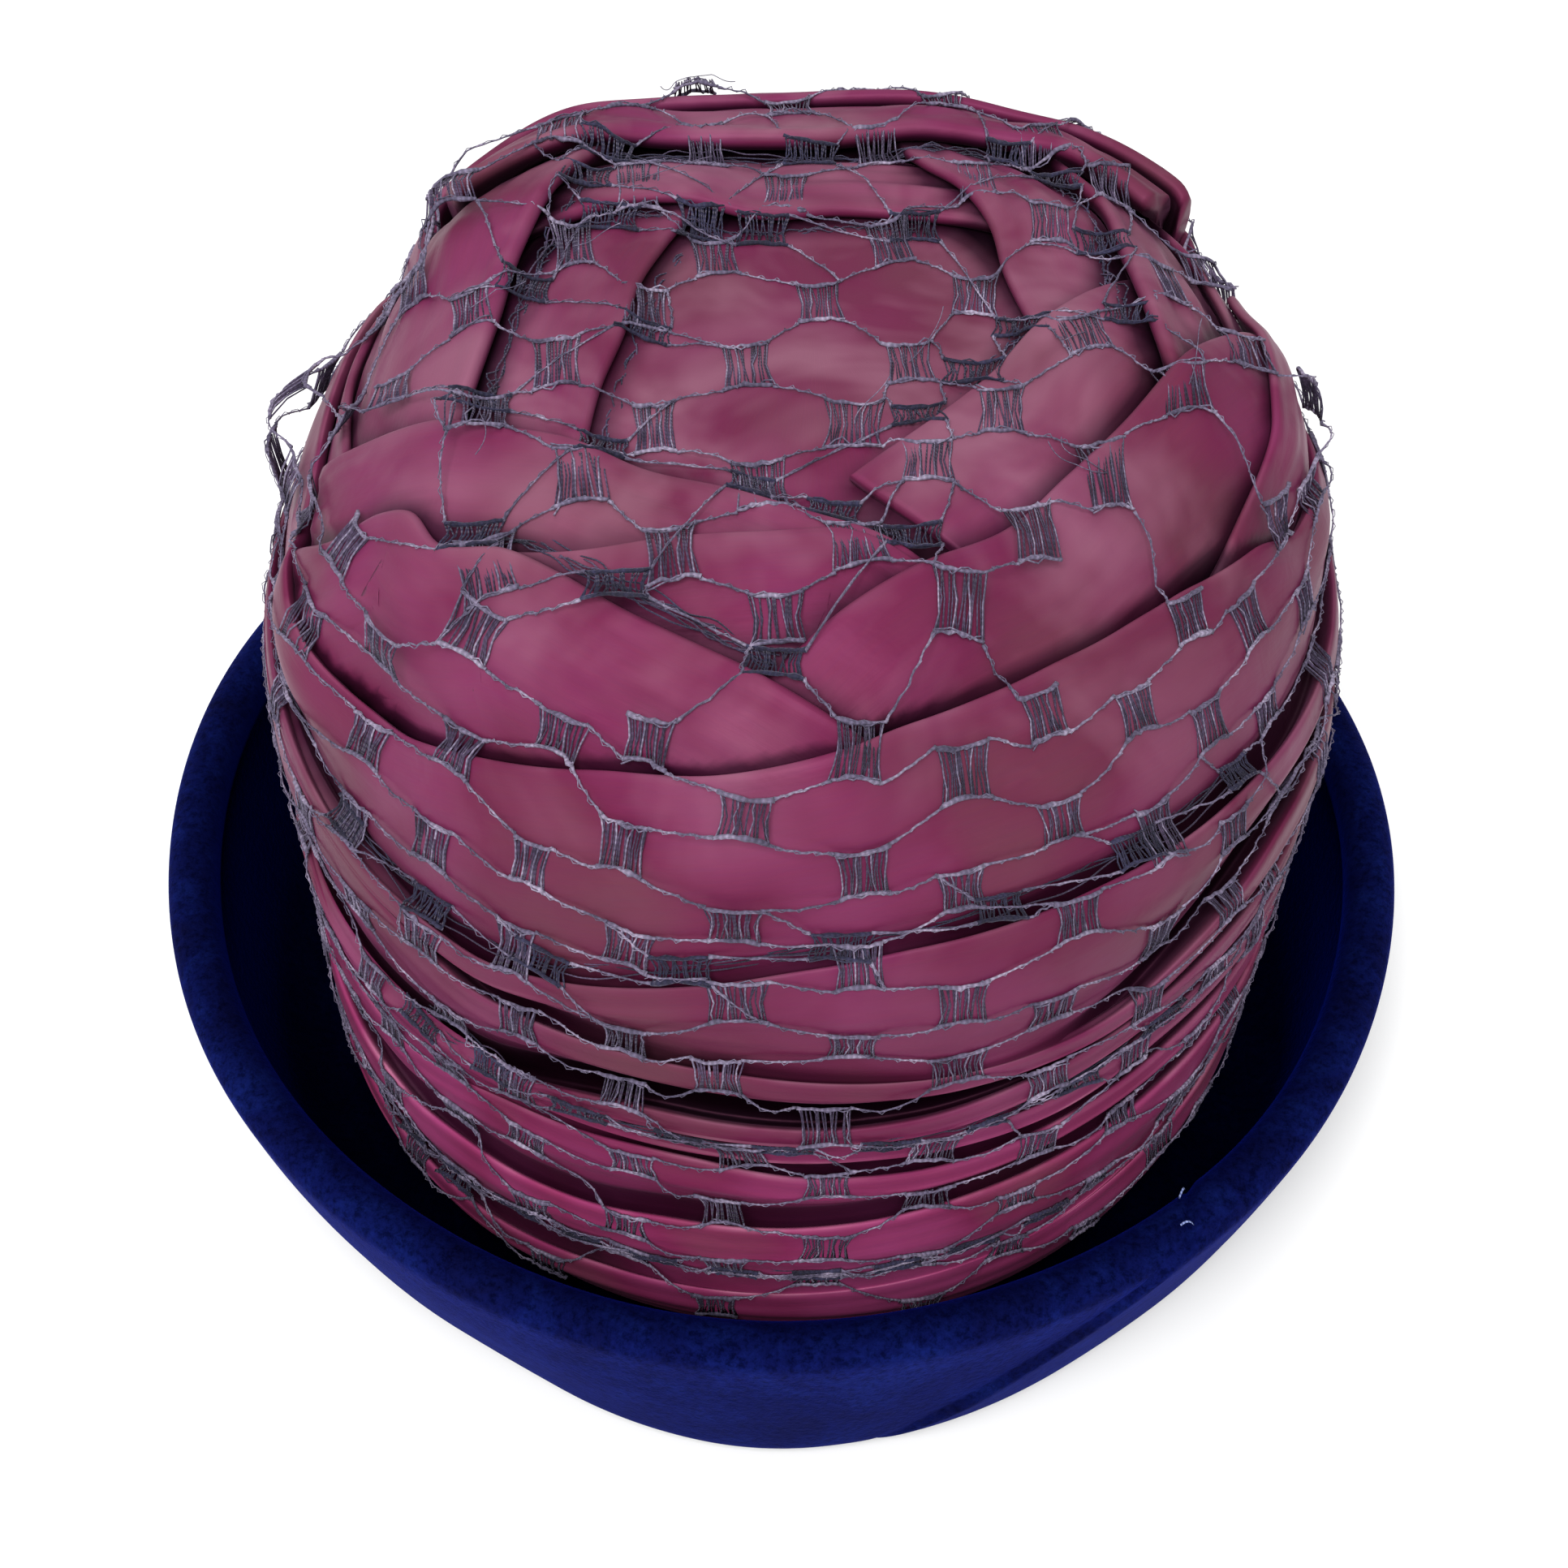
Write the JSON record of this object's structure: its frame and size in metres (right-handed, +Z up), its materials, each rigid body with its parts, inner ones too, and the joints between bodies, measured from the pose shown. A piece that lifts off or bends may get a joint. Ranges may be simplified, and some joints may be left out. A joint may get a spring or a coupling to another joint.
{
  "type": "cloche hat",
  "caption": "Deep bell-shaped hat: a satin crown with folded bands laid over its top and a pleated drape round its side, under a net veil, with a rolled velvet brim turned up all round.",
  "frame": {"origin": "on the table, under the middle of the brim", "axes": "+Z up through the crown, +Y towards the front of the hat, +X to its right seen from the back, where the brim is joined"},
  "size_m": [0.2358, 0.2568, 0.1722],
  "materials": {
    "satin": "raspberry satin with a soft sheen",
    "velvet": "navy velvet, short pile",
    "net": "slate veil net, matt"
  },
  "bodies": {
    "root": {"crown_shell": "satin", "left_inner_band": "satin", "front_inner_band": "satin", "right_inner_band": "satin", "front_outer_band": "satin", "right_upper_lap": "satin", "right_outer_band": "satin", "left_outer_band": "satin", "back_left_lap": "satin", "right_lower_lap": "satin", "back_right_lap": "satin", "side_drape": "satin", "veil": "net", "brim": "velvet"}
  },
  "joints": []
}
